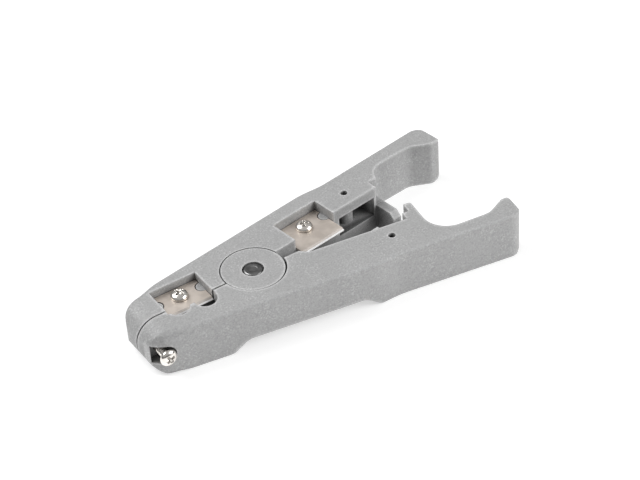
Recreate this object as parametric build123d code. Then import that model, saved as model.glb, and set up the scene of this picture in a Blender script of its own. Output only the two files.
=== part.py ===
from build123d import *
from math import atan2, cos, pi, radians, sin, tan
import os

# Cable jacket stripper: two moulded halves hinged at a disc knuckle, like a clothes peg. At rest the
# nose is shut and the handles stand apart. Millimetres, +X along the tool towards the handles, +Y to
# the half that carries the blades, Z = 0 on the surface that the tool lies on.

# Overall size
length = 125.0
thickness = 16.0
nose_reach = 41.5  # from the nose to the pivot
half_opening = 8.5  # degrees that each handle stands off the middle line at rest

# Outer wall, seen from above
far_half_width = 16.9  # at the pivot
near_half_width = 16.0
flare = 9.4  # degrees between the outer wall and the middle line
nose_radius = 8.5
nose_side_rounding = 3.2  # rounding round the nose's corner, which runs out along the outer wall
nose_side_foot_rounding = 1.8
nose_rounding_end = -33.0
nose_rounding_fade = 12.0  # degrees
nose_corner_inset = 0.4
waist_start = 31.0
waist_end = 39.0
waist_blend = 25.0
outer_crease = 0.9  # rounding of the outer wall's long edges
foot_crease = 0.4

# Side view
nose_top_rounding = 7.2
nose_foot_rounding = 8.2
belly_rise = 3.8  # how far the middle of the underside is lifted
belly_front = -11.2
belly_front_run = 5.2
belly_rear = 26.8
belly_rear_run = 5.4
belly_blend = 5.0

# Handles behind the box
valley_radius = 8.0
handle_root = 4.6  # thickness of the near handle where it leaves the box
handle_thickness = 5.2  # of the near handle at its hook
hook_start = 10.9  # where the handle starts to hook inwards, from its end
hook_bend = 5.5
hook_tip = 3.9  # lowest point of the hook, from the handle's end
hook_tip_drop = 0.4
hook_tip_radius = 2.4
hook_depth = 9.7  # from the outer corner of the end to its inner corner
near_end_inset = 1.2  # how much sooner the near handle ends
end_inner_corner = 1.6
end_corner = 4.2
end_foot_rounding = 3.8
end_top_rounding = 1.4

# Levels of the moulding
top_plate = 3.7
bottom_plate = 5.4
finger_split = 9.0  # level between the horn above and the tongue below
running_gap = 0.2

# Seam between the halves in front of the pivot
seam_y = -0.9
seam_gap = 0.55

# Hinge
disc_radius = 9.8
disc_groove = 0.4
disc_groove_depth = 0.6
seat_gap = 0.2  # narrowest gap between the disc and the near half's round seat
seat_shift = 0.25  # the seat is set off towards the handles and the seam, where its gap is widest
lug_thickness = 3.7
spring_room_radius = 8.8
boss_radius = 4.0
rivet_radius = 2.0
rivet_clearance = 0.05
rivet_head_radius = 3.05
rivet_head_height = 0.9
rivet_head_stand = 0.0  # how far the head stands above the disc
head_seat_gap = 0.3
washer_radius = 3.6
washer_thickness = 0.6
tail_radius = 2.9
tail_height = 0.9
rivet_bevel = 0.35

# Return spring
wire_radius = 0.5
wire_sides = 8
coil_radius = 5.6
coil_turns = 2.5
coil_rise = 1.15
spring_lift = 0.35
leg_length = 12.0
leg_slot_gap = 0.15

# Inner edges of the handle frames, from the line through the pivot, with the tool squeezed shut
far_throat = 1.2
far_throat_start = 8.0
far_front = 2.7
near_throat = 1.25
near_throat_start = 9.0
near_throat_end = 15.6
near_front = 0.9
throat_step = 18.1

# Box behind the rear blade
box_end = 53.3
post_front = 2.3
post_rear = 1.0
outer_wall = 2.2
far_boss_from_window = 6.9
far_boss_y = 7.7
near_boss_from_window = 6.3
near_boss_y = 5.9
screw_boss_radius = 2.4
hole_radius = 1.15

# Fingers at the end of the box
finger_thickness = 3.1
tongue_reach = 5.2
tongue_chamfer = 1.9
horn_reach = 6.0
horn_root_inset = 1.9  # from the box's end
horn_step = 2.2
horn_tip_radius = 0.9
finger_gap = 0.3
tongue_gap = 0.7
finger_overlap = 0.1

# Blades
blade_thickness = 0.7
blade_notch_radius = 2.2
blade_bevel = 1.1
blade_edge = 0.08
peg_gap = 0.2
peg_drop = 0.1  # top of the pegs below the blade's top
pocket_gap = 0.2
front_pocket_right = -14.9
front_pocket_length = 15.9
front_pocket_back = 9.3
front_pocket_depth = 3.3
front_blade_reach = 0.9  # past the seam
rear_pocket_length = 17.0
rear_pocket_back = 11.4
rear_pocket_depth = 4.0
rear_blade_reach = 2.45  # past the line through the pivot
rear_kerf_margin = 0.5
rear_kerf_gap = 0.8  # room past the blade's edge when the handles are squeezed

# Blade screws
screw_head_radius = 2.7
screw_rim = 0.5
screw_head_height = 1.9
screw_shank_radius = 1.4
screw_hole_gap = 0.05
screw_length = 6.0
front_screw_y = 5.2
rear_screw_y = 6.9

# Cable notches in the near half
small_notch_from_pocket = 3.8  # from the front pocket's left end
small_notch_radius = 3.4
small_notch_depth = 5.1
large_notch_from_pocket = 12.3
large_notch_radius = 3.6
large_notch_depth = 6.6
notch_land = 2.6  # depth of the point between the notches

# Depth screw
depth_screw_from_nose = 4.8
depth_screw_z = 8.1
depth_screw_radius = 1.5
depth_screw_tip = 0.15  # tip set back from the near half's seam face
depth_screw_shank = 9.2
recess_radius = 3.2
recess_from_nose = 1.3
recess_floor = 4.3

# Values that follow from those above
pivot_x = nose_reach - length / 2
pivot_y = (near_half_width - far_half_width) / 2
handle_end = length - nose_reach
flare_slope = tan(radians(flare))
top_under = thickness - top_plate
lug_top = belly_rise + lug_thickness
leg_drop = leg_length * coil_rise / (2 * pi * coil_radius)
first_leg_z = lug_top + spring_lift + wire_radius
last_leg_z = first_leg_z + coil_turns * coil_rise
far_seam = seam_y + seam_gap / 2
near_seam = seam_y - seam_gap / 2
window_start = throat_step + rear_pocket_length + post_front
window_end = box_end - post_rear
front_pocket_left = front_pocket_right - front_pocket_length
depth_screw_x = depth_screw_from_nose - nose_reach
tip_slope = atan2(hook_tip_drop, hook_tip)
corner_gain = (cos(tip_slope) + sin(radians(flare))) / cos(radians(flare) - tip_slope) - 1
cut = 1.0  # how far a cutting block runs on past the face it opens
envelope_reach = 0.6 * length  # half width of the blocks that round the nose and the ends


def handle_point(along, across):
    """A point of a handle frame, turned to where the open handle stands."""
    angle = radians(half_opening)
    return (along * cos(angle) - across * sin(angle), along * sin(angle) + across * cos(angle))


def handle_box(along, across, levels):
    """A box given by its limits in the handle frame and its two levels."""
    block = Box(along[1] - along[0], across[1] - across[0], levels[1] - levels[0])
    centre = (sum(along) / 2, sum(across) / 2, sum(levels) / 2)
    return Rot(0, 0, half_opening) * (Pos(*centre) * block)


def plain_box(across_x, across_y, levels):
    """A box given by its limits along X, Y and Z."""
    block = Box(across_x[1] - across_x[0], across_y[1] - across_y[0], levels[1] - levels[0])
    return Pos(sum(across_x) / 2, sum(across_y) / 2, sum(levels) / 2) * block


def post(radius, low, high, x=0.0, y=0.0):
    """An upright cylinder between two levels."""
    return Pos(x, y, (low + high) / 2) * Cylinder(radius, high - low)


def outer_y(x, half_width=near_half_width):
    """Outer wall's distance from the middle line."""
    waist_y = half_width + flare_slope * waist_start
    if x < waist_start:
        return half_width + flare_slope * x
    return waist_y + flare_slope * max(x - waist_end, 0.0)


def half_blank(inner_edge, half_width, end):
    """One half's moulding as a full-height block, up to its handle's end. inner_edge runs from the
    nose to the box's far corner, as points with a corner radius."""
    box_x, box_y, _ = inner_edge[-1]
    valley_y = outer_y(box_x) - handle_root
    valley_x = box_x - (valley_y - box_y) * tan(radians(half_opening))
    hook_x = handle_end - hook_start
    tip_y = outer_y(handle_end) - hook_depth
    corner_x = end + end_inner_corner * corner_gain
    end_x = end_face_x(half_width, corner_x)
    nose_x = -nose_reach - cut
    # The valley's rounding has to fit on the box's end and on the handle
    valley_fillet = min(valley_radius, 0.8 * (valley_y - box_y), 0.7 * (hook_x - valley_x) - 1)
    outline = list(inner_edge) + [
        (valley_x, valley_y, valley_fillet),
        (hook_x, outer_y(hook_x) - handle_thickness, hook_bend),
        (handle_end - hook_tip, tip_y - hook_tip_drop, hook_tip_radius),
        (corner_x, tip_y, 0.0),
        (end_x, outer_y(end_x, half_width), end_corner),
        (waist_end, outer_y(waist_end, half_width), waist_blend),
        (waist_start, outer_y(waist_start, half_width), waist_blend),
        (nose_x, outer_y(nose_x, half_width), 0.0),
    ]
    body = extrude(rounded_face(outline), thickness, dir=(0, 0, 1))
    for level, radius in ((0, foot_crease), (thickness, outer_crease)):
        rim = body.edges().filter_by(lambda e: abs(e.center().Z - level) < 0.01)
        body = fillet(rim.filter_by(lambda e: on_outer_wall(e @ 0.5, half_width, end_x)), radius)
    body = body & nose_envelope(half_width) & side_profile() & end_envelope(corner_x)
    upright = body.edges().filter_by(Axis.Z).filter_by(GeomType.LINE)
    inner_corner = upright.sort_by_distance((corner_x, tip_y, thickness / 2))[0]
    return fillet(inner_corner, end_inner_corner)


def end_face_x(half_width, corner_x):
    """Where the handle's end, which stands square to the outer wall, meets that wall."""
    drop = outer_y(handle_end, half_width) - outer_y(handle_end) + hook_depth
    return corner_x - drop * flare_slope


def rounded_face(outline):
    """A flat face from points given with the rounding of their corner."""
    spots = [Vector(x, y) for x, y, radius in outline]
    corners = []
    for i, (x, y, radius) in enumerate(outline):
        back = (spots[i - 1] - spots[i]).normalized()
        ahead = (spots[(i + 1) % len(spots)] - spots[i]).normalized()
        half_angle = radians(back.get_angle(ahead) / 2)
        reach = radius / tan(half_angle)
        depth = radius / sin(half_angle) - radius
        inward = (back + ahead).normalized()
        corners.append((spots[i] + back * reach, spots[i] + inward * depth, spots[i] + ahead * reach))
    edges = []
    for i, (first, middle, last) in enumerate(corners):
        if outline[i][2] > 0:
            edges.append(ThreePointArc(first, middle, last).edge())
        edges.append(Line(last, corners[(i + 1) % len(corners)][0]).edge())
    return make_face(edges)


def on_outer_wall(spot, half_width, end_x):
    """Whether a point of the blank's outline lies along the outer wall or the handle's end."""
    if spot.X > end_x and spot.Y > outer_y(handle_end) - hook_depth + cut:
        return True
    return spot.Y > outer_y(spot.X, half_width) - handle_thickness / 2 and spot.X > -nose_reach


def nose_envelope(half_width):
    """Block that gives the nose its plan and the rounding of its corner, and leaves the wall behind."""
    start_y = outer_y(-nose_reach, half_width) - nose_corner_inset
    turn_y = outer_y(nose_rounding_end, half_width) + nose_corner_inset / 2
    far_y = turn_y + (handle_end - nose_rounding_end) * tan(radians(flare + nose_rounding_fade))
    outline = [
        (-nose_reach, -envelope_reach, 0.0),
        (-nose_reach, start_y, nose_radius),
        (nose_rounding_end, turn_y, waist_blend),
        (handle_end + cut, far_y, 0.0),
        (handle_end + cut, -envelope_reach, 0.0),
    ]
    block = extrude(rounded_face(outline), thickness, dir=(0, 0, 1))
    for level, radius in ((0, nose_side_foot_rounding), (thickness, nose_side_rounding)):
        rim = block.edges().filter_by(lambda e: abs(e.center().Z - level) < 0.01)
        rim = rim.filter_by(lambda e: e.center().X < handle_end and e.center().Y > -envelope_reach + cut)
        block = fillet(rim, radius)
    return block


def side_profile():
    """The outline seen from the side, as a block right across the tool."""
    outline = [
        (-nose_reach, 0, nose_foot_rounding),
        (belly_front - belly_front_run, 0, belly_blend),
        (belly_front, belly_rise, belly_blend),
        (belly_rear, belly_rise, belly_blend),
        (belly_rear + belly_rear_run, 0, belly_blend),
        (handle_end + cut, 0, 0.0),
        (handle_end + cut, thickness, 0.0),
        (-nose_reach, thickness, nose_top_rounding),
    ]
    return extrude(Plane.XZ * rounded_face(outline), envelope_reach, both=True)


def end_envelope(corner_x):
    """Block that rounds the top and the foot of the handle's end, which stands square to the handle."""
    far = -2 * length
    outline = [
        (far, 0, 0.0),
        (0, 0, end_foot_rounding),
        (0, thickness, end_top_rounding),
        (far, thickness, 0.0),
    ]
    block = extrude(Plane.XZ * rounded_face(outline), 2 * envelope_reach, both=True)
    return Pos(corner_x, outer_y(handle_end) - hook_depth, 0) * (Rot(0, 0, flare) * block)


def box_cavity(front, boss):
    """The hollow of a box, open at its window, with the screw boss left standing in it."""
    angle = radians(half_opening)
    back = outer_y(waist_end) * cos(angle) - waist_end * sin(angle) - outer_wall
    hollow = handle_box((window_start, window_end), (front - cut, back), (bottom_plate, top_under))
    return hollow - post(screw_boss_radius, 0, thickness, *boss)


def screw_hole(boss):
    """The through hole in a box's boss."""
    return post(hole_radius, -cut, thickness + cut, *boss)


def blade_pocket_front():
    """Open pocket in front of the pivot, with its two pegs left standing."""
    left = front_pocket_left
    right = left + front_pocket_length
    floor = thickness - front_pocket_depth
    pocket = plain_box((left, right), (near_seam - cut, front_pocket_back), (floor, thickness + cut))
    peg_top = floor + blade_thickness - peg_drop
    radius = blade_notch_radius - peg_gap
    for x in (left, right):
        pocket = pocket - post(radius, 0, peg_top, x, front_screw_y)
    return pocket


def blade_pocket_rear():
    """Open pocket behind the pivot, square to the handle, with its two pegs left standing."""
    left = throat_step
    right = left + rear_pocket_length
    floor = thickness - rear_pocket_depth
    pocket = handle_box((left, right), (-disc_radius, rear_pocket_back), (floor, thickness + cut))
    peg_top = floor + blade_thickness - peg_drop
    radius = blade_notch_radius - peg_gap
    for along in (left, right):
        x, y = handle_point(along, rear_screw_y)
        pocket = pocket - post(radius, 0, peg_top, x, y)
    return pocket


def leg_slot(low, high):
    """Groove in a half's wall that takes one sloping leg of the return spring, given the levels of the
    leg's two ends."""
    half = wire_radius + leg_slot_gap
    return plain_box((coil_radius, leg_length + leg_slot_gap), (coil_radius - half, coil_radius + half),
                     (low - half, high + half))


def make_far_half():
    """The half with the blades, the top lug of the hinge and the tongue."""
    corner = handle_point(box_end + finger_thickness, far_front)
    inner_edge = [
        (-nose_reach - cut, far_seam, 0.0),
        (0.0, far_seam, 0.0),
        (*handle_point(far_throat_start, far_throat), 0.0),
        (*handle_point(throat_step, far_throat), 0.0),
        (*handle_point(throat_step, far_front), 0.0),
        (*corner, 0.0),
    ]
    body = half_blank(inner_edge, far_half_width, handle_end)
    # Room for the spring and for the other half's lug, then this half's own lug and boss
    body -= post(spring_room_radius, lug_top - 0.1, top_under)
    body -= post(disc_radius + disc_groove, -1, lug_top + running_gap)
    body += post(disc_radius, top_under, thickness)
    body += post(boss_radius, lug_top + running_gap / 2, thickness - 0.5)
    groove = post(disc_radius + disc_groove, thickness - disc_groove_depth, thickness + 1)
    body -= groove - post(disc_radius, 0, thickness + 2)
    body -= post(rivet_radius + rivet_clearance, -1, thickness + 1)
    seat = thickness + rivet_head_stand - rivet_head_height
    body -= post(rivet_head_radius + head_seat_gap, seat, thickness + 1)
    body -= leg_slot(first_leg_z - leg_drop, first_leg_z)
    # Blade pockets
    body -= blade_pocket_front()
    body -= blade_pocket_rear()
    floor = thickness - front_pocket_depth
    x = front_pocket_left + front_pocket_length / 2
    body -= post(screw_shank_radius + screw_hole_gap, floor - screw_length, floor + 1, x, front_screw_y)
    floor = thickness - rear_pocket_depth
    x, y = handle_point(throat_step + rear_pocket_length / 2, rear_screw_y)
    body -= post(screw_shank_radius + screw_hole_gap, floor - screw_length, floor + 1, x, y)
    # Box, notch for the near half's horn, and tongue
    boss = handle_point(window_start + far_boss_from_window, far_boss_y)
    body -= box_cavity(far_front, boss)
    body -= screw_hole(boss)
    notch_top = horn_reach + finger_gap
    body -= handle_box((box_end, box_end + finger_thickness + cut), (0, notch_top),
                       (finger_split, thickness + cut))
    return body + tongue()


def tongue():
    """Finger with a chamfered tip that slides into the near half under its horn."""
    top = finger_split - running_gap
    root = far_front + 1
    face = Polygon((-tongue_reach, 0), (-tongue_reach, top - tongue_chamfer),
                   (tongue_chamfer - tongue_reach, top), (root, top), (root, 0), align=None)
    return Rot(0, 0, half_opening) * extrude(Plane.YZ.offset(box_end) * face, finger_thickness, dir=(1, 0, 0))


def make_near_half():
    """The half with the cable notches, the bottom lug of the hinge, the depth screw and the horn,
    made on the +Y side and mirrored at the end."""
    seam = -near_seam
    inner_edge = [
        (-nose_reach - cut, seam, 0.0),
        (0.0, seam, 0.0),
        (near_throat_start, near_throat, 0.0),
        (near_throat_end, near_throat, 0.0),
        (*handle_point(throat_step, near_front), 0.0),
        (*handle_point(box_end + finger_thickness - finger_gap, near_front), 0.0),
    ]
    body = half_blank(inner_edge, near_half_width, handle_end - near_end_inset)
    # Room for the spring and for the other half's lug, then this half's own lug
    body -= post(spring_room_radius, lug_top, top_under + 0.1)
    seat_radius = disc_radius + seat_gap + seat_shift
    body -= post(seat_radius, top_under - running_gap, thickness + 1, seat_shift, -seat_shift)
    body += post(disc_radius, belly_rise, lug_top)
    body -= leg_slot(last_leg_z, last_leg_z + leg_drop)
    body -= post(rivet_radius, -1, thickness)
    body -= post(washer_radius + head_seat_gap, -1, belly_rise + washer_thickness)
    # Cable notches at the nose
    body -= cable_notch(front_pocket_left + small_notch_from_pocket, small_notch_radius, small_notch_depth)
    body -= cable_notch(front_pocket_left + large_notch_from_pocket, large_notch_radius, large_notch_depth)
    body -= plain_box((front_pocket_left - pocket_gap, front_pocket_right + pocket_gap),
                      (-cut, notch_land), (-cut, thickness + cut))
    # Depth screw recess and its hole
    body -= depth_recess()
    body -= depth_screw_bore()
    # Slot that the rear blade closes into
    low = thickness - rear_pocket_depth - rear_kerf_margin
    high = thickness - rear_pocket_depth + blade_thickness + rear_kerf_margin
    body -= handle_box((near_throat_end + 1, throat_step + rear_pocket_length + cut),
                       (-rear_blade_reach, rear_blade_reach + rear_kerf_gap), (low, high))
    # Box, room for the far half's tongue, and horn
    boss = handle_point(window_start + near_boss_from_window, near_boss_y)
    body -= box_cavity(near_front, boss)
    body -= screw_hole(boss)
    body -= handle_box((box_end - running_gap, box_end + finger_thickness + cut),
                       (-tongue_reach, tongue_reach + tongue_gap), (-cut, finger_split + finger_overlap))
    body += horn()
    return mirror(body, Plane.XZ)


def cable_notch(x, radius, depth):
    """Round-ended notch right through the nose."""
    centre_y = depth - radius
    slot = post(radius, -1, thickness + 1, x, centre_y)
    return slot + plain_box((x - radius, x + radius), (-2, centre_y), (-1, thickness + 1))


def depth_recess():
    """Open recess in the outer wall round the depth screw's head: square in front, round behind."""
    outer = outer_y(depth_screw_x) + recess_radius
    round_end = Cylinder(recess_radius, outer - recess_floor)
    round_end = Pos(depth_screw_x, (outer + recess_floor) / 2, depth_screw_z) * (Rot(90, 0, 0) * round_end)
    levels = (depth_screw_z - recess_radius, depth_screw_z + recess_radius)
    left = recess_from_nose - nose_reach
    return round_end + plain_box((left, depth_screw_x), (recess_floor, outer), levels)


def depth_screw_bore():
    """Hole from the recess's floor to the seam."""
    bore = Cylinder(depth_screw_radius + screw_hole_gap, recess_floor + 4 * cut)
    return Pos(depth_screw_x, recess_floor / 2, depth_screw_z) * (Rot(90, 0, 0) * bore)


def horn():
    """Stepped finger that locks into the far half's notch when the handles are squeezed."""
    end = box_end + finger_thickness - finger_gap
    root = box_end - horn_root_inset
    corners = [
        (root, near_front + 1, 0.0),
        (root, -horn_step, 0.0),
        (box_end + finger_gap, -horn_step, 0.0),
        (box_end + finger_gap, -horn_reach, 0.2),
        (end, -horn_reach, horn_tip_radius),
        (end, near_front + 1, 0.0),
    ]
    face = rounded_face([(*handle_point(x, y), radius) for x, y, radius in corners])
    foot = finger_split + finger_overlap
    return Pos(0, 0, foot) * extrude(face, thickness - foot, dir=(0, 0, 1))


def blade(size_x, size_y, notch_y):
    """A flat blade with its cutting edge at y = 0, bevelled on top, a half-round notch in both short
    ends and a round hole for its screw. Its underside is at z = 0."""
    plate = Pos(0, size_y / 2, blade_thickness / 2) * Box(size_x, size_y, blade_thickness)
    for x in (-size_x / 2, size_x / 2):
        plate -= post(blade_notch_radius, -1, blade_thickness + 1, x, notch_y)
    plate -= post(screw_shank_radius + 0.2, -1, blade_thickness + 1, 0, notch_y)
    ground = Polygon((0, blade_edge), (blade_bevel, blade_thickness), (0, blade_thickness), align=None)
    wedge = extrude(Plane.YZ * ground, size_x, both=True)
    return plate - wedge


def make_front_blade():
    """Blade that cuts jackets in the notches."""
    y = far_seam - front_blade_reach
    size_y = front_pocket_back - pocket_gap - y
    piece = blade(front_pocket_length - 2 * pocket_gap, size_y, front_screw_y - y)
    return Pos(front_pocket_left + front_pocket_length / 2, y, thickness - front_pocket_depth) * piece


def make_rear_blade():
    """Blade that cuts flat cable and wire between the handles."""
    size_y = rear_pocket_back - pocket_gap + rear_blade_reach
    piece = blade(rear_pocket_length - 2 * pocket_gap, size_y, rear_screw_y + rear_blade_reach)
    centre = (throat_step + rear_pocket_length / 2, -rear_blade_reach, thickness - rear_pocket_depth)
    return Rot(0, 0, half_opening) * (Pos(*centre) * piece)


def turned(profile):
    """A turned piece on the Z axis, from its outline given as radius and height from foot to top."""
    points = [(0, profile[0][1]), *profile, (0, profile[-1][1])]
    return revolve(Plane.XZ * make_face(Polyline(*points, close=True)), Axis.Z)


def dome(radius, low, high):
    """Outline of a rounded rim, from the level where it starts to the flat top."""
    drop = high - low
    angles = [radians(15 * step) for step in range(7)]
    return [(radius - drop * (1 - cos(a)), low + drop * sin(a)) for a in angles]


def pan_screw(shank_radius, shank_length):
    """Domed pan-head screw, standing on z = 0 under its head."""
    return turned([(shank_radius, -shank_length), (shank_radius, 0), (screw_head_radius, 0),
                   *dome(screw_head_radius, screw_rim, screw_head_height)])


def make_blade_screw(x, y, pocket_depth):
    """Screw that holds a blade on its pocket's floor."""
    under_head = thickness - pocket_depth + blade_thickness
    return Pos(x, y, under_head) * pan_screw(screw_shank_radius, screw_length)


def make_depth_screw():
    """Screw whose tip stops the nose from shutting further."""
    head_y = near_seam - depth_screw_tip - depth_screw_shank
    piece = Rot(90, 0, 0) * pan_screw(depth_screw_radius, depth_screw_shank)
    return Pos(depth_screw_x, head_y, depth_screw_z) * piece


def make_rivet():
    """Pivot rivet with its head let into the disc and its set tail under the washer."""
    top = thickness + rivet_head_stand
    seat = top - rivet_head_height
    foot = belly_rise - tail_height
    return turned([(tail_radius - rivet_bevel, foot), (tail_radius, foot + rivet_bevel),
                   (tail_radius, belly_rise), (rivet_radius, belly_rise), (rivet_radius, seat),
                   (rivet_head_radius, seat), (rivet_head_radius, top - rivet_bevel),
                   (rivet_head_radius - rivet_bevel, top)])


def make_washer():
    """Washer between the near half's lug and the rivet's tail."""
    return post(washer_radius, belly_rise, belly_rise + washer_thickness) - post(rivet_radius, 0, thickness)


def make_spring():
    """Torsion spring round the hinge's boss, with a leg along the far half below and one along the
    near half above."""
    coil = Helix(coil_rise, coil_turns * coil_rise, coil_radius)
    first = Line(coil @ 0 - (coil % 0) * leg_length, coil @ 0)
    last = Line(coil @ 1, coil @ 1 + (coil % 1) * leg_length)
    path = Wire([*first.edges(), *coil.edges(), *last.edges()])
    section = Plane(path @ 0, z_dir=path % 0) * RegularPolygon(wire_radius, wire_sides)
    spring = sweep(section, path)
    return Pos(0, 0, first_leg_z) * (Rot(0, 0, 90) * spring)


nodes = {
    "far_half": make_far_half(),
    "near_half": make_near_half(),
    "pivot_rivet": make_rivet(),
    "rivet_washer": make_washer(),
    "return_spring": make_spring(),
    "front_blade": make_front_blade(),
    "front_blade_screw": make_blade_screw(front_pocket_left + front_pocket_length / 2, front_screw_y,
                                          front_pocket_depth),
    "rear_blade": make_rear_blade(),
    "rear_blade_screw": make_blade_screw(*handle_point(throat_step + rear_pocket_length / 2, rear_screw_y),
                                         rear_pocket_depth),
    "depth_screw": make_depth_screw(),
}

os.makedirs("parts", exist_ok=True)
for name, solid in nodes.items():
    export_step(Pos(pivot_x, pivot_y, 0) * solid, f"parts/{name}.step")
    print(name, round(solid.volume, 1))
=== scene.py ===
# %% [markdown]
# # A cable jacket stripper, dressed for its picture
#
# The tool is two moulded plastic halves on a disc hinge, with two blades, three screws and a rivet.
# The CAD model already has every size and every hollow, so the halves, the blades and the washer stay as
# they are and only get materials. The small fasteners are modelled again here, because a cross slot or a
# screw thread is fine detail that the CAD leaves plain, and so is the spring.

# %% Load the frame
import math

import bpy
from mathutils import Matrix, Vector


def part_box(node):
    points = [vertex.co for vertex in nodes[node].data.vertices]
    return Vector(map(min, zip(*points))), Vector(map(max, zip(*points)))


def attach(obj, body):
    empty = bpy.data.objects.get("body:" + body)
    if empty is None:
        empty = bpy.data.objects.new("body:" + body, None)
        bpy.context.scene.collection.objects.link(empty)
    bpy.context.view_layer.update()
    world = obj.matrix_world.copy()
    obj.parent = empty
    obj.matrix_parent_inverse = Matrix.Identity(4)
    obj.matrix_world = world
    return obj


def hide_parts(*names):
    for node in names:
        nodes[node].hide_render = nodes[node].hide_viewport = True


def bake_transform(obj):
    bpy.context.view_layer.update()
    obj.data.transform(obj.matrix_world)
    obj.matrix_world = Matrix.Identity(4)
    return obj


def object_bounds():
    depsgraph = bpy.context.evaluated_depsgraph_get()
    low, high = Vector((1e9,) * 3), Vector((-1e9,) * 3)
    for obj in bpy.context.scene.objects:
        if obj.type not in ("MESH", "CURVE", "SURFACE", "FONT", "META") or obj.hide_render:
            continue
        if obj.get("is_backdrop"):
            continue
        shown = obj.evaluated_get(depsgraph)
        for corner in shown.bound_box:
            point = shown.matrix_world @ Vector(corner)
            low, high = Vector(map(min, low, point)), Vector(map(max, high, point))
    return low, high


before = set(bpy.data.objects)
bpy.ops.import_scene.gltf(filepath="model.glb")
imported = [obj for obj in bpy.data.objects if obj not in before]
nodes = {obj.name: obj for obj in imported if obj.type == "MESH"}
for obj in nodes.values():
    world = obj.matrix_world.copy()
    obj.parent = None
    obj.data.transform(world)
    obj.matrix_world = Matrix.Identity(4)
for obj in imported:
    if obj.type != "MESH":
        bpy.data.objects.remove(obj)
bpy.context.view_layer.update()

MM = 0.001
print("nodes:", ", ".join(sorted(nodes)))

# %% [markdown]
# ## The camera
#
# The photograph was taken with a long lens, from in front of the nose, to the left and above. A
# camera is easiest to place by what it looks at: one target on the tool, two angles, a roll and a
# distance. The matrix of a camera has its right, its up and its backward direction as columns.

# %% Place the camera
PHOTO_WIDTH = 640
FOCAL_PIXELS = 2000.0
SENSOR_WIDTH = 36.0
NEAR_LIMIT = 0.01
AZIMUTH = math.radians(-31.28)
ELEVATION = math.radians(38.738)
ROLL = math.radians(3.952)
DISTANCE = 0.6086
TARGET = Vector((0.00265, -0.001314, 0.016))


def camera_matrix(target, azimuth, elevation, roll, distance):
    """World matrix of a camera that looks at target from the given angles."""
    right = Vector((math.cos(azimuth), math.sin(azimuth), 0.0))
    level = Vector((math.sin(azimuth), -math.cos(azimuth), 0.0))
    back = level * math.cos(elevation) + Vector((0.0, 0.0, math.sin(elevation)))
    up = back.cross(right)
    turned_right = right * math.cos(roll) - up * math.sin(roll)
    turned_up = right * math.sin(roll) + up * math.cos(roll)
    turn = Matrix((turned_right, turned_up, back)).transposed().to_4x4()
    return Matrix.Translation(target + back * distance) @ turn


lens = bpy.data.cameras.new("photo_camera")
lens.sensor_width = SENSOR_WIDTH
lens.lens = FOCAL_PIXELS / PHOTO_WIDTH * SENSOR_WIDTH
lens.clip_start = NEAR_LIMIT
camera = bpy.data.objects.new("photo_camera", lens)
camera.matrix_world = camera_matrix(TARGET, AZIMUTH, ELEVATION, ROLL, DISTANCE)
bpy.context.scene.collection.objects.link(camera)
bpy.context.scene.camera = camera
print("camera at", [round(v, 4) for v in camera.matrix_world.translation], "lens", lens.lens)

# %% [markdown]
# ## Nodes written as sums
#
# A shader is a graph, but its maths reads best as a formula. This class wraps one output socket, so
# that `1 - mask * 0.3` adds the Math nodes by itself. Only sums, differences and products are needed,
# each with its reflected form, so that a plain number may come first.

# %% Wrap a socket
class Wire:
    """One output of a node, with Python's operators."""

    def __init__(self, graph, socket):
        self.graph = graph
        self.socket = socket

    def __add__(self, other):
        return self.graph.maths("ADD", self, other)

    def __sub__(self, other):
        return self.graph.maths("SUBTRACT", self, other)

    def __rsub__(self, other):
        return self.graph.maths("SUBTRACT", other, self)

    def __mul__(self, other):
        return self.graph.maths("MULTIPLY", self, other)

    __radd__ = __add__
    __rmul__ = __mul__


print("a wire adds, subtracts and multiplies")

# %% [markdown]
# ## One way to add a node
#
# Every node comes from one method. It sets the node's own settings first, with the stops of a colour
# ramp among them, and then gives each socket a value or a link. The materials and the sky behind the
# scene are both graphs, so this part is a class of its own.

# %% Wrap a graph
class Graph:
    """A node tree with one way to add nodes to it."""

    def __init__(self, tree):
        self.tree = tree

    def node(self, kind, settings=None, inputs=None, output=0, stops=()):
        """Adds a node: its settings and stops first, then the values or links of its sockets."""
        made = self.tree.nodes.new(kind)
        for key, value in (settings or {}).items():
            setattr(made, key, value)
        for number, (position, colour) in enumerate(stops):
            made.color_ramp.elements[number].position = position
            made.color_ramp.elements[number].color = colour
        for key, value in (inputs or {}).items():
            self.plug(made.inputs[key], value)
        return Wire(self, made.outputs[output])

    def plug(self, socket, value):
        """Sets a socket to a value, or links a wire to it."""
        if isinstance(value, Wire):
            self.tree.links.new(value.socket, socket)
        else:
            socket.default_value = value

    def maths(self, operation, first, second):
        """A Math node on two values or wires."""
        return self.node("ShaderNodeMath", {"operation": operation}, {0: first, 1: second})


print("a graph adds any node")

# %% [markdown]
# ## One graph for each finish
#
# A finish starts as an empty material with a Principled shader. The same small set of methods builds
# them all: noise for grain, a range for masks, a mix for two colours and a bump for relief. Noise
# takes its place from the piece's own coordinates, so that it stays on the plastic when a half turns.

# %% Wrap a material
OCCLUSION_SAMPLES = 6
NO_STRETCH = (1.0, 1.0, 1.0)


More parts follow.
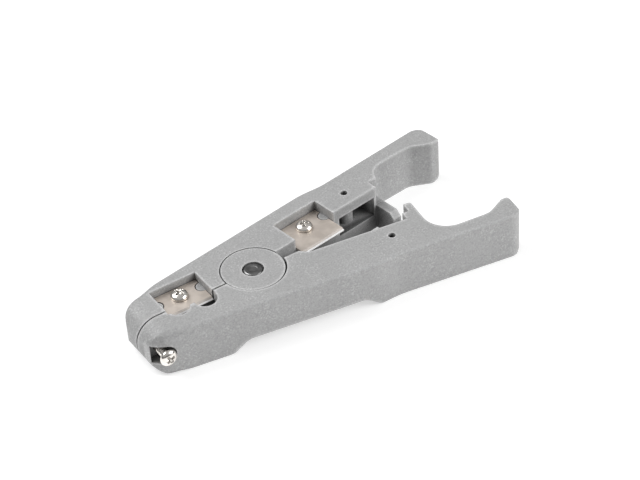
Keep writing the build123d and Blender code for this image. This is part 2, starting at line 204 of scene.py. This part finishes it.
class Finish(Graph):
    """A material with a Principled shader and short ways to vary it."""

    def __init__(self, name):
        self.material = bpy.data.materials.new(name)
        self.material.use_nodes = True
        super().__init__(self.material.node_tree)
        self.shader = self.tree.nodes["Principled BSDF"]
        self.place = self.node("ShaderNodeTexCoord").socket.node

    def spot(self, output="Object", stretch=NO_STRETCH):
        """A place on the piece in metres, or its normal, stretched along its axes."""
        here = Wire(self, self.place.outputs[output])
        if stretch == NO_STRETCH:
            return here
        return self.node("ShaderNodeVectorMath", {"operation": "MULTIPLY"}, {0: here, 1: stretch})

    def axis(self, number, output="Object"):
        """One coordinate of the place on the piece, or of its normal."""
        return self.node("ShaderNodeSeparateXYZ", {}, {0: self.spot(output)}, number)

    def noise(self, size, detail=3.0, stretch=NO_STRETCH):
        """Cloudy noise from 0 to 1 with blobs of about that size, in metres."""
        inputs = {"Vector": self.spot(stretch=stretch), "Scale": 1.0 / size, "Detail": detail}
        return self.node("ShaderNodeTexNoise", {}, inputs)

    def between(self, value, low, high):
        """0 below low, 1 above high and smooth between."""
        inputs = {"Value": value, "From Min": low, "From Max": high}
        return self.node("ShaderNodeMapRange", {"interpolation_type": "SMOOTHSTEP"}, inputs)

    def blotches(self, size, low, high, detail=3.0):
        """Soft-edged blotches, cut out of noise of that size between two levels."""
        return self.between(self.noise(size, detail), low, high)

    def mix(self, mask, first, second):
        """Two colours by a mask."""
        return self.node("ShaderNodeMix", {"data_type": "RGBA"}, {0: mask, 6: first, 7: second}, 2)

    def hollow(self, reach, inside=False):
        """0 on open ground, near 1 deep in a hole; from inside, near 1 on a sharp edge."""
        settings = {"samples": OCCLUSION_SAMPLES, "inside": inside, "only_local": inside}
        return 1 - self.node("ShaderNodeAmbientOcclusion", settings, {"Distance": reach}, "AO")

    def bump(self, height, depth, strength, normal=None):
        """Relief of the given depth in metres."""
        inputs = {"Height": height, "Distance": depth, "Strength": strength}
        if normal:
            inputs["Normal"] = normal
        return self.node("ShaderNodeBump", {}, inputs)

    def set(self, **values):
        """Plugs the shader's sockets, such as base_color or roughness."""
        for key, value in values.items():
            self.plug(self.shader.inputs[key.replace("_", " ").title()], value)
        return self.material


print("a finish has", len([name for name in vars(Finish) if not name.startswith("_")]), "methods")

# %% [markdown]
# ## Moulded plastic: the grey
#
# The halves are a mid-grey plastic with a fine sparked texture, which scatters the light into tiny
# lighter and darker specks. The colour has four kinds of noise: wide clouds, a mottle of about a
# millimetre, and light and dark specks below half a millimetre, the light ones stronger in patches.
# Each kind is a mask that mixes one more grey over the last.

# %% Mix the plastic's grey
CLOUDS = {"size": 14 * MM, "low": 0.35, "high": 0.65, "detail": 2.0}
CLOUD_GREYS = (0.305, 0.325)
MOTTLE = {"size": 1.6 * MM, "low": 0.35, "high": 0.7}
MOTTLE_GREY = 0.35
MOTTLE_SHARE = 0.6
SPECK_SIZE = 0.55 * MM
LIGHT_SPECKS = {"low": 0.52, "high": 0.68}
LIGHT_SPECK_GREY = 0.45
LIGHT_SPECK_SHARES = (0.35, 0.55)
DARK_SPECKS = {"low": 0.32, "high": 0.48}
DARK_SPECK_GREY = 0.24
DARK_SPECK_SHARE = 0.6
PATCHES = {"size": 6 * MM, "low": 0.40, "high": 0.62, "detail": 2.0}


def grey(value, tint=(1.0, 1.0, 1.0)):
    """A colour from one brightness and a slight tint."""
    return (value * tint[0], value * tint[1], value * tint[2], 1.0)


def sparked_grey(look):
    """The plastic's colour, and the masks of its mottle and its light specks."""
    mottle = look.blotches(**MOTTLE)
    grain = look.noise(SPECK_SIZE)
    light_specks = look.between(grain, **LIGHT_SPECKS)
    dark_specks = 1 - look.between(grain, **DARK_SPECKS)
    everywhere, in_patches = LIGHT_SPECK_SHARES
    light_share = everywhere + look.blotches(**PATCHES) * in_patches
    tone = look.mix(look.blotches(**CLOUDS), grey(CLOUD_GREYS[0]), grey(CLOUD_GREYS[1]))
    tone = look.mix(mottle * MOTTLE_SHARE, tone, grey(MOTTLE_GREY))
    tone = look.mix(light_specks * light_share, tone, grey(LIGHT_SPECK_GREY))
    tone = look.mix(dark_specks * DARK_SPECK_SHARE, tone, grey(DARK_SPECK_GREY))
    return tone, mottle, light_specks


print("specks of", SPECK_SIZE / MM, "mm in a mottle of", MOTTLE["size"] / MM, "mm")

# %% [markdown]
# ## Moulded plastic: its edges and their painted highlight
#
# A mould leaves its edges slightly rounded. A Bevel node softens the normals there, which spares the solid
# thousands of small faces. An Ambient Occlusion node that looks into the solid finds the same edges,
# because there is little plastic behind them, and gives them a painted highlight: a lighter, speckled
# line.

# %% Paint a highlight on the edges
EDGE_RADIUS = 0.35 * MM
EDGE_SAMPLES = 6
EDGE_REACH = 1.4 * MM
EDGES = {"low": 0.20, "high": 0.46}
EDGE_HIGHLIGHT_GREY = 0.66
EDGE_HIGHLIGHT_SHARES = (0.50, 0.4)


def painted_edge_highlights(look, tone, light_specks):
    """The colour with a painted highlight along the edges."""
    plain, speckled = EDGE_HIGHLIGHT_SHARES
    # Painted highlight: a lighter, speckled line where the sharp edges catch the light.
    edge = look.between(look.hollow(EDGE_REACH, inside=True), **EDGES)
    return look.mix(edge * (plain + light_specks * speckled), tone, grey(EDGE_HIGHLIGHT_GREY))


print("edges of", EDGE_RADIUS / MM, "mm")

# %% [markdown]
# ## Moulded plastic: painted shade in its holes and hollows
#
# Two more Ambient Occlusion nodes look outwards and paint shade into the colour. One reaches 3 mm and
# finds the holes and the seams, which get a nearly black painted shade. One reaches 14 mm and finds the
# deep space between the halves, which gets painted shade as well. Behind the hinge that space is darker
# than its depth alone makes it, so a mask of places picks it out for more painted shade, low enough to
# leave the blade pockets their lighter walls.

# %% Paint shade into the hollows
HOLE_REACH = 3.0 * MM
HOLE_SHADE_RANGE = {"low": 0.54, "high": 0.84}
HOLE_SHADE_GREY = 0.03
CAVITY_REACH = 14.0 * MM
CAVITY_SHADE_RANGE = {"low": 0.66, "high": 0.92}
CAVITY_SHADE_GREY = 0.06
CAVITY_SHADE_SHARE = 0.85
SHADES = {"low": 0.20, "high": 0.52}
SHADE_GREY = 0.05
SHADE_SHARE = 0.88
SHADE_STARTS = (-14 * MM, -8 * MM)
SHADE_ENDS = (38 * MM, 41 * MM)
SHADE_SIDES = (10 * MM, 12 * MM)
SHADE_TOPS = (8 * MM, 12 * MM)


def between_the_halves(look):
    """Where painted shade goes: 1 low down between the handles' roots, behind the hinge, and 0 elsewhere.
    """
    x, y, z = (look.axis(number) for number in range(3))
    along = look.between(x, *SHADE_STARTS) * (1 - look.between(x, *SHADE_ENDS))
    across = 1 - look.between(y * y, *(side ** 2 for side in SHADE_SIDES))
    return along * across * (1 - look.between(z, *SHADE_TOPS))


def painted_hollow_shade(look, tone):
    """The colour with painted shade in the holes, the seams and the space between the halves."""
    around = look.hollow(CAVITY_REACH)
    # Painted shade: the holes, the seams and the deep space between the halves go nearly black.
    tone = look.mix(look.between(around, **CAVITY_SHADE_RANGE) * CAVITY_SHADE_SHARE, tone, grey(CAVITY_SHADE_GREY))
    shade = look.between(around, **SHADES) * between_the_halves(look)
    tone = look.mix(shade * SHADE_SHARE, tone, grey(SHADE_GREY))
    hole_shade = look.between(look.hollow(HOLE_REACH), **HOLE_SHADE_RANGE)
    return look.mix(hole_shade, tone, grey(HOLE_SHADE_GREY))


print("holes found within", HOLE_REACH / MM, "mm, hollows within", CAVITY_REACH / MM, "mm")

# %% [markdown]
# ## Moulded plastic: the whole finish
#
# The spark marks are shallow pits as well as specks, so a little bump goes with the colour. They are
# also why the plastic is half matt: the mottle makes it a bit rougher and the light specks smoother.

# %% Make the moulded plastic
PIT_SIZE = 0.4 * MM
PIT_DEPTH = 0.06 * MM
PIT_STRENGTH = 0.6


def moulded_plastic():
    look = Finish("moulded_plastic")
    tone, mottle, light_specks = sparked_grey(look)
    tone = painted_hollow_shade(look, painted_edge_highlights(look, tone, light_specks))
    rounded = look.node("ShaderNodeBevel", {"samples": EDGE_SAMPLES}, {"Radius": EDGE_RADIUS})
    relief = look.bump(look.noise(PIT_SIZE), PIT_DEPTH, PIT_STRENGTH, rounded)
    rough = 0.50 + mottle * 0.08 - light_specks * 0.06
    return look.set(base_color=tone, roughness=rough, normal=relief)


plastic = moulded_plastic()
print("made", plastic.name, "with", len(plastic.node_tree.nodes), "nodes")

# %% [markdown]
# ## Blade steel
#
# The blades are thin stamped steel: satin, slightly warm, with faint streaks along the cut. Along the
# cutting edge a painted highlight makes the ground bevel read nearly white, and that strip is a little
# smoother. The bevel is the only face that leans, so a mask on the normal's height finds it, and the
# height above the blade's underside keeps only its lower part. Both blades get one finish, each with its
# own height.

# %% Make the blade steel
STREAK_SIZE = 0.5 * MM
STREAK_STRETCH = (0.06, 1.0, 1.0)
STREAK_DEPTH = 0.01 * MM
SMUDGES = {"size": 4 * MM, "low": 0.35, "high": 0.7, "detail": 2.0}
LEAN_STARTS = (0.3, 0.4)
LEAN_ENDS = (0.93, 0.97)
BLADE_HIGHLIGHT_TOPS = (0.28 * MM, 0.40 * MM)
STEEL_DARK = grey(0.60, (1.0, 0.89, 0.79))
STEEL_LIGHT = grey(0.76, (1.0, 0.90, 0.81))
STEEL_STREAK = grey(0.80, (1.0, 0.92, 0.85))
BEVEL_GREY = 0.35
BLADE_HIGHLIGHT_GREY = 0.93


def blade_steel(name, underside):
    """The finish of one blade, whose underside lies at that height."""
    look = Finish(name)
    streaks = look.noise(STREAK_SIZE, 4.0, STREAK_STRETCH)
    lean = look.axis(2, "Normal")
    leaning = look.between(lean, *LEAN_STARTS) * (1 - look.between(lean, *LEAN_ENDS))
    # Painted highlight: the lower part of the bevel, along the cutting edge, reads nearly white.
    blade_highlight = leaning * (1 - look.between(look.axis(2) - underside, *BLADE_HIGHLIGHT_TOPS))
    tone = look.mix(look.blotches(**SMUDGES), STEEL_DARK, STEEL_LIGHT)
    tone = look.mix(streaks * 0.4, tone, STEEL_STREAK)
    tone = look.mix(leaning * 0.4, tone, grey(BEVEL_GREY))
    tone = look.mix(blade_highlight, tone, grey(BLADE_HIGHLIGHT_GREY))
    rough = 0.42 + streaks * 0.1 - blade_highlight * 0.12
    relief = look.bump(streaks, STREAK_DEPTH, 0.5)
    return look.set(base_color=tone, roughness=rough, normal=relief, metallic=0.85)


blades = {}
for name in ("front_blade", "rear_blade"):
    blades[name] = blade_steel(name + "_steel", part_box(name)[0][2])
    print("made", blades[name].name)

# %% [markdown]
# ## Plated and bare steel
#
# The screws are nickel plated: bright, a little warm and nearly mirror smooth. The rivet is blackened
# steel. The spring and the washer are plain steel. An Ambient Occlusion node finds the slots and the
# seats, and painted shade darkens the colour there.

# %% Make the other metals
STAINS = {"size": 2.0 * MM, "low": 0.3, "high": 0.7}
SCRATCH_SIZE = 0.25 * MM
SCRATCH_DEPTH = 0.004 * MM
METAL_SHADE_REACH = 1.5 * MM
METAL_SHADE_RANGE = {"low": 0.16, "high": 0.46}
METAL_SHADE_SHARE = 0.55
METAL_SHADE_DARKNESS = 0.10


def metal(name, dark, light, roughness, tint=(1.0, 1.0, 1.0)):
    """A metal that varies softly between two greys, with painted shade in its hollows."""
    look = Finish(name)
    stain = look.blotches(**STAINS)
    fine = look.noise(SCRATCH_SIZE)
    tone = look.mix(stain, grey(dark, tint), grey(light, tint))
    # Painted shade: the colour darkens in the slots and round the seats.
    metal_shade = look.between(look.hollow(METAL_SHADE_REACH), **METAL_SHADE_RANGE)
    tone = look.mix(metal_shade * METAL_SHADE_SHARE, tone, grey(dark * METAL_SHADE_DARKNESS, tint))
    rough = roughness + stain * 0.08 + fine * 0.05
    relief = look.bump(fine, SCRATCH_DEPTH, 0.4)
    return look.set(base_color=tone, roughness=rough, normal=relief, metallic=1.0)


nickel = metal("nickel_plate", 0.80, 0.93, 0.13, (1.0, 0.955, 0.90))
blackened = metal("blackened_steel", 0.16, 0.24, 0.28)
spring_steel = metal("spring_steel", 0.40, 0.52, 0.24)
print("made", nickel.name, blackened.name, spring_steel.name)

# %% [markdown]
# ## Dress the CAD's own pieces
#
# Five pieces keep their CAD shape. Each gets its finish by its material slots, which leaves its mesh
# alone.

# %% Give the CAD nodes their materials
carried = {
    "far_half": plastic,
    "near_half": plastic,
    "front_blade": blades["front_blade"],
    "rear_blade": blades["rear_blade"],
    "rivet_washer": spring_steel,
}
for name, material in carried.items():
    for slot in nodes[name].material_slots:
        slot.material = material
print("dressed", len(carried), "CAD nodes")

# %% [markdown]
# ## Surfaces of revolution with something extra
#
# A screw is round, except for the slot in its head and the thread on its shank. So the mesh is a
# stack of rings round one axis, and each point of a ring may move: down into the cross slot on the
# head, in and out along the thread on the shank. One function turns such rings into a closed mesh.

# %% Turn rings into a closed mesh
RING_POINTS = 72


def circle(radius, height):
    """One ring of points on the axis at a height."""
    angles = [math.tau * step / RING_POINTS for step in range(RING_POINTS)]
    return [Vector((radius * math.cos(a), radius * math.sin(a), height)) for a in angles]


def ring_mesh(name, rings, material):
    """A closed mesh from rings of points, with one point in the middle of each end."""
    points = [sum(rings[0], Vector()) / len(rings[0])]
    for ring in rings:
        points.extend(ring)
    points.append(sum(rings[-1], Vector()) / len(rings[-1]))
    last = len(points) - 1
    count = len(rings[0])
    faces = []
    for step in range(count):
        after = (step + 1) % count
        faces.append((0, 1 + step, 1 + after))
        for level in range(len(rings) - 1):
            low = 1 + level * count
            high = low + count
            faces.append((low + step, high + step, high + after, low + after))
        faces.append((last, last - count + after, last - count + step))
    mesh = bpy.data.meshes.new(name)
    mesh.from_pydata(points, [], faces)
    mesh.validate()
    mesh.shade_smooth()
    mesh.materials.append(material)
    piece = bpy.data.objects.new(name, mesh)
    bpy.context.scene.collection.objects.link(piece)
    return piece


def smooth_step(value, low, high):
    """0 below low, 1 above high and smooth between."""
    share = min(max((value - low) / (high - low), 0.0), 1.0)
    return share * share * (3 - 2 * share)


print("a ring has", RING_POINTS, "points")

# %% [markdown]
# ## The cross-slotted pan head
#
# From above, the slot is a cross: a point is inside it when it is close to one of two lines. Its
# floor slopes down to the middle, as the tip of a cross-point driver does. Outside it, the head is a
# flat-topped dome over a short straight rim.

# %% Shape the head
HEAD_RADIUS = 2.7 * MM
HEAD_HEIGHT = 1.9 * MM
HEAD_STEPS = 44
RIM_HEIGHT = 0.5 * MM
RIM_FOOT = 0.35
RIM_CHAMFER = 0.1 * MM
DOME_FLATNESS = 2.2
DOME_SHOULDER = 0.55
SLOT_REACH = 1.5 * MM
SLOT_HALF_WIDTH = 0.34 * MM
SLOT_FLARE = 1.15
SLOT_TAPER = 0.25
SLOT_WALL = 0.12 * MM
SLOT_DEPTH = 1.25 * MM
SLOT_END_DEPTH = 0.45 * MM


def dome(radius):
    """Height of the head above its seat."""
    share = min(radius / HEAD_RADIUS, 1.0)
    swell = max(1 - share ** DOME_FLATNESS, 0.0) ** DOME_SHOULDER
    return RIM_HEIGHT + (HEAD_HEIGHT - RIM_HEIGHT) * swell


def slot_depth(x, y):
    """Depth of the cross slot below the dome."""
    along = max(abs(x), abs(y))
    beside = min(abs(x), abs(y))
    width = SLOT_HALF_WIDTH * (SLOT_FLARE - SLOT_TAPER * along / SLOT_REACH)
    inside = 1 - smooth_step(beside, width, width + SLOT_WALL)
    inside *= 1 - smooth_step(along, SLOT_REACH - SLOT_WALL, SLOT_REACH + SLOT_WALL)
    share = min(along / SLOT_REACH, 1.0)
    return inside * (SLOT_DEPTH + (SLOT_END_DEPTH - SLOT_DEPTH) * share)


def head_rings():
    """Rings from the middle of the slot out to the rim and under it."""
    rings = []
    for step in range(1, HEAD_STEPS + 1):
        radius = HEAD_RADIUS * math.sin(math.pi / 2 * step / HEAD_STEPS)
        ring = circle(radius, dome(radius))
        for point in ring:
            point.z -= slot_depth(point.x, point.y)
        rings.append(ring)
    rings.append(circle(HEAD_RADIUS, RIM_HEIGHT * RIM_FOOT))
    rings.append(circle(HEAD_RADIUS - RIM_CHAMFER, 0.0))
    return rings


print("a head has", len(head_rings()), "rings")

# %% [markdown]
# ## The thread
#
# A thread is one ridge that climbs by its pitch in each turn. At any height and angle, the phase
# says how far the point is along that climb, and the radius follows a triangle between the ridge and
# the root. At the tip the thread fades into a short cone.

# %% Shape the shank
THREAD_STEPS = 8
TIP_PITCHES = 1.2
TIP_TAPER = 0.35
BLADE_THREAD = {"radius": 1.4 * MM, "pitch": 0.6 * MM, "depth": 0.22 * MM, "plain": 0.6 * MM}
DEPTH_THREAD = {"radius": 1.5 * MM, "pitch": 0.8 * MM, "depth": 0.3 * MM, "plain": 0.3 * MM}


def thread_rings(length, radius, pitch, depth, plain):
    """Rings from under the head to the tip, threaded after a plain stretch."""
    rings = []
    count = math.ceil(length / pitch * THREAD_STEPS)
    for level in range(count + 1):
        down = length * level / count
        cone = smooth_step(down, length - TIP_PITCHES * pitch, length) * TIP_TAPER * radius
        cut = smooth_step(down, plain, plain + pitch)
        ring = circle(1.0, -down)
        for step, point in enumerate(ring):
            phase = (down / pitch + step / RING_POINTS) % 1.0
            ridge = abs(2 * phase - 1)
            reach = radius - cut * depth * (1 - ridge) - cone
            point.x *= reach
            point.y *= reach
        rings.append(ring)
    return rings


def screw(name, length, thread):
    """A whole pan-head screw, standing on z = 0 under its head."""
    return ring_mesh(name, head_rings() + thread_rings(length, **thread), nickel)


print("pitches:", BLADE_THREAD["pitch"] / MM, "and", DEPTH_THREAD["pitch"] / MM, "mm")

# %% [markdown]
# ## Put the screws where the CAD has them
#
# Each screw takes its place from its CAD node's box, so it can't drift from its seat. The blade
# screws stand upright in the far half. The depth screw lies across the nose with its head outwards.
# Each was driven home by hand, so its slot stands at an angle of its own.

# %% Place the three screws
BLADE_SCREW_TURNS = {"front_blade_screw": math.radians(20), "rear_blade_screw": math.radians(62)}
DEPTH_SCREW_TURN = math.radians(28)


def box_centre(node):
    """The middle of a CAD node's box, and its lowest and highest corners."""
    low, high = (Vector(corner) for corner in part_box(node))
    return (low + high) / 2, low, high


def place(piece, matrix, body, node):
    """Moves a piece's mesh into place, lets it ride and stand for its CAD node."""
    piece.data.transform(matrix)
    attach(piece, body)
    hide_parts(node)
    print(piece.name, "at", [round(v / MM, 2) for v in matrix.translation])


for node, turn in BLADE_SCREW_TURNS.items():
    middle, low, high = box_centre(node)
    piece = screw(node + "_cross", high.z - low.z - HEAD_HEIGHT, BLADE_THREAD)
    seat = Matrix.Translation((middle.x, middle.y, high.z - HEAD_HEIGHT))
    place(piece, seat @ Matrix.Rotation(turn, 4, "Z"), "far_body", node)

middle, low, high = box_centre("depth_screw")
piece = screw("depth_screw_cross", high.y - low.y - HEAD_HEIGHT, DEPTH_THREAD)
seat = Matrix.Translation((middle.x, low.y + HEAD_HEIGHT, middle.z))
lay = Matrix.Rotation(math.pi / 2, 4, "X") @ Matrix.Rotation(DEPTH_SCREW_TURN, 4, "Z")
place(piece, seat @ lay, "depth_screw_body", "depth_screw")

# %% [markdown]
# ## The rivet
#
# The rivet's head was pressed in a round die: a raised rim with a shallow dish inside it. Its shank
# and the set tail below are plain turned shapes, so the rivet is one stack of rings too. Its profile
# is two lists of radius and height in millimetres, from the top of the head and from the tail's end.

# %% Turn the rivet
RIVET_HEAD = [
    (0.35, -0.10), (1.22, -0.10), (1.36, -0.08), (1.50, -0.01), (1.62, 0.0), (2.42, 0.0),
    (2.60, -0.04), (2.90, -0.24), (3.03, -0.42), (3.05, -0.90), (2.00, -0.90),
]
RIVET_TAIL = [(2.00, 0.90), (2.90, 0.90), (2.90, 0.45), (2.72, 0.12), (2.35, 0.0), (0.9, 0.0)]

middle, low, high = box_centre("pivot_rivet")
rings = [circle(radius * MM, high.z + level * MM) for radius, level in RIVET_HEAD]
rings += [circle(radius * MM, low.z + level * MM) for radius, level in RIVET_TAIL]
rivet = ring_mesh("rivet_dished", rings, blackened)
place(rivet, Matrix.Translation((middle.x, middle.y, 0.0)), "near_body", "pivot_rivet")
print("rivet from", round(low.z / MM, 2), "to", round(high.z / MM, 2))

# %% [markdown]
# ## The return spring
#
# A torsion spring is wound round the hinge between the halves, out of sight. Its lower leg lies along the
# far half and its upper leg along the near half, so the coil winds up when the handles close. The wire is
# a stack of rings again, this time along a helix with a straight leg at both ends. The helix climbs evenly
# from the lower leg's height to the upper leg's.

# %% Wind the spring
WIRE_RADIUS = 0.48 * MM
WIRE_POINTS = 12
COIL_RADIUS = 5.6 * MM
COIL_TURNS = 2.5
COIL_RISE = 1.15 * MM
COIL_STEPS = 120
COIL_MARGIN = 0.5 * MM
LEG_START = math.pi / 2
LEG_STEPS = 4
LEG_CLEARANCE = 0.02 * MM


def wire_ring(angle, level, along):
    """Ring of the wire at an angle of the coil, moved along its tangent by a leg's length."""
    outward = Vector((math.cos(angle), math.sin(angle), 0.0))
    slope = COIL_RISE / (math.tau * COIL_RADIUS)
    tangent = Vector((-math.sin(angle), math.cos(angle), slope)).normalized()
    across = outward.cross(tangent)
    centre = outward * COIL_RADIUS + Vector((0.0, 0.0, level)) + tangent * along
    turns = [math.tau * step / WIRE_POINTS for step in range(WIRE_POINTS)]
    return [centre + (outward * math.cos(t) + across * math.sin(t)) * WIRE_RADIUS for t in turns]


def spring_rings(leg):
    """Rings from the tip of the lower leg round the coil to the tip of the upper leg."""
    rise = COIL_TURNS * COIL_RISE
    end = LEG_START + math.tau * COIL_TURNS
    lengths = [leg * step / LEG_STEPS for step in range(1, LEG_STEPS + 1)]
    rings = [wire_ring(LEG_START, -rise / 2, -length) for length in reversed(lengths)]
    for step in range(COIL_STEPS + 1):
        share = step / COIL_STEPS
        rings.append(wire_ring(LEG_START + math.tau * COIL_TURNS * share, rise * (share - 0.5), 0.0))
    return rings + [wire_ring(end, rise / 2, length) for length in lengths]


middle, low, high = box_centre("return_spring")
hinge = Vector((low.x + COIL_RADIUS + COIL_MARGIN, middle.y, middle.z))
spring = ring_mesh("spring_wire", spring_rings(high.x - hinge.x - LEG_CLEARANCE), spring_steel)
spring.data.transform(Matrix.Translation(hinge))
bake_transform(spring)
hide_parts("return_spring")
print("spring round", [round(v / MM, 2) for v in hinge])

# %% [markdown]
# ## The floor
#
# The picture is a cut-out on white, as from a light table: a pale sheet lit from above and a little
# from below, which keeps its shadows faint. So the floor's material glows slightly. It lies a hair
# below the tool, so that two faces never share one plane.

# %% Lay the floor
FLOOR_SIZE = 6.0
FLOOR_GAP = 0.02 * MM
FLOOR_GLOW = 0.55
FLOOR_GREYS = (0.54, 0.56)
FLOOR_CLOUD_SIZE = 0.4


def floor_finish():
    look = Finish("studio_floor")
    clouds = look.noise(FLOOR_CLOUD_SIZE, 2.0)
    tone = look.mix(clouds, grey(FLOOR_GREYS[0]), grey(FLOOR_GREYS[1]))
    return look.set(base_color=tone, roughness=0.9, emission_color=grey(1.0), emission_strength=FLOOR_GLOW)


half = FLOOR_SIZE / 2
corners = [(x, y, -FLOOR_GAP) for x, y in ((-half, -half), (half, -half), (half, half), (-half, half))]
mesh = bpy.data.meshes.new("studio_floor")
mesh.from_pydata(corners, [], [(0, 1, 2, 3)])
mesh.materials.append(floor_finish())
floor = bpy.data.objects.new("studio_floor", mesh)
bpy.context.scene.collection.objects.link(floor)
floor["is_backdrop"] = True
print("floor of", FLOOR_SIZE, "m,", FLOOR_GAP / MM, "mm below the tool")

# %% [markdown]
# ## The sky
#
# The rest of the light comes from a world with a pale ceiling and darker walls, which give the screws
# something dark to mirror. A colour ramp on the height of the direction makes both. The view
# transform is Blender's plain one, because its usual film-like one would turn the white sheet grey.

# %% Hang the sky
SKY_STRENGTH = 0.42
WALL = (0.08, grey(0.12))
CEILING = (0.55, grey(1.0))

world = bpy.data.worlds.new("studio_world")
world.use_nodes = True
background = world.node_tree.nodes["Background"]
sky = Graph(world.node_tree)
direction = sky.node("ShaderNodeTexCoord", output="Generated")
upward = sky.node("ShaderNodeSeparateXYZ", {}, {0: direction}, 2)
sky.plug(background.inputs["Color"], sky.node("ShaderNodeValToRGB", {}, {0: upward}, 0, (WALL, CEILING)))
sky.plug(background.inputs["Strength"], SKY_STRENGTH)
bpy.context.scene.world = world
bpy.context.scene.view_settings.view_transform = "Standard"
print("sky with", len(world.node_tree.nodes), "nodes")

# %% [markdown]
# ## The lamps
#
# Two large soft lamps stand a metre or so away. The key lamp is low on the right in front and lights
# the near wall, and the other stands high behind the nose and lights the top. Both face the tool.

# %% Hang the lamps
LAMP_SIZE = 0.6
LAMPS = {"key": ((0.60, -0.60, 0.53), 7.6), "over": ((-0.42, 0.50, 0.76), 7.9)}


def lamp(name, position, watts):
    """A square soft light that faces the tool."""
    light = bpy.data.lights.new(name, "AREA")
    light.size = LAMP_SIZE
    light.energy = watts
    holder = bpy.data.objects.new(name, light)
    turn = (TARGET - Vector(position)).to_track_quat("-Z", "Y").to_matrix().to_4x4()
    holder.matrix_world = Matrix.Translation(position) @ turn
    bpy.context.scene.collection.objects.link(holder)


for name, (position, watts) in LAMPS.items():
    lamp(name, position, watts)
    print("lamp", name, "of", watts, "W")

# %% [markdown]
# ## Finish
#
# The box of the dressed model is printed, in millimetres.

# %% Print the box
low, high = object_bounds()
print("visual box in mm:", [round((b - a) / MM, 2) for a, b in zip(low, high)])
